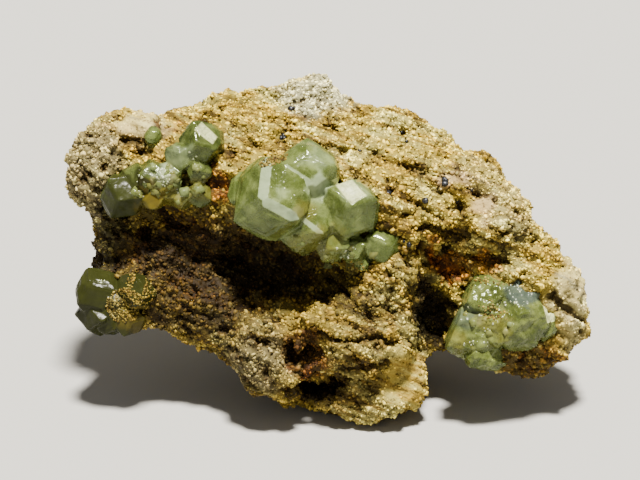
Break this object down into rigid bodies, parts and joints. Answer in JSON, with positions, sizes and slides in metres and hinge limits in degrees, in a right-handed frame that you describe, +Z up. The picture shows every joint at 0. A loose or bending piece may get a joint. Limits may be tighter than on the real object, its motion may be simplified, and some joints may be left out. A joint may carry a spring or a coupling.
{
  "type": "mineral specimen",
  "caption": "Green garnet crystal clusters on a crumbly tan rock matrix, a natural specimen that stands on its own flat foot with the crystals to the front.",
  "frame": {"origin": "centre of the bounding box on the surface that the specimen rests on", "axes": "+X to the right along the specimen's length, +Y to its back, +Z up; the crystals face -Y and a little upwards"},
  "size_m": [0.056, 0.0302, 0.0326],
  "materials": {
    "matrix_stone": "matte",
    "garnet": "gloss"
  },
  "bodies": {
    "root": {"matrix": "matrix_stone", "garnet_cluster_centre": "garnet", "garnet_cluster_upper_left": "garnet", "garnet_crystal_upper_left": "garnet", "garnet_cluster_lower_left": "garnet", "garnet_cluster_right": "garnet"}
  },
  "joints": []
}
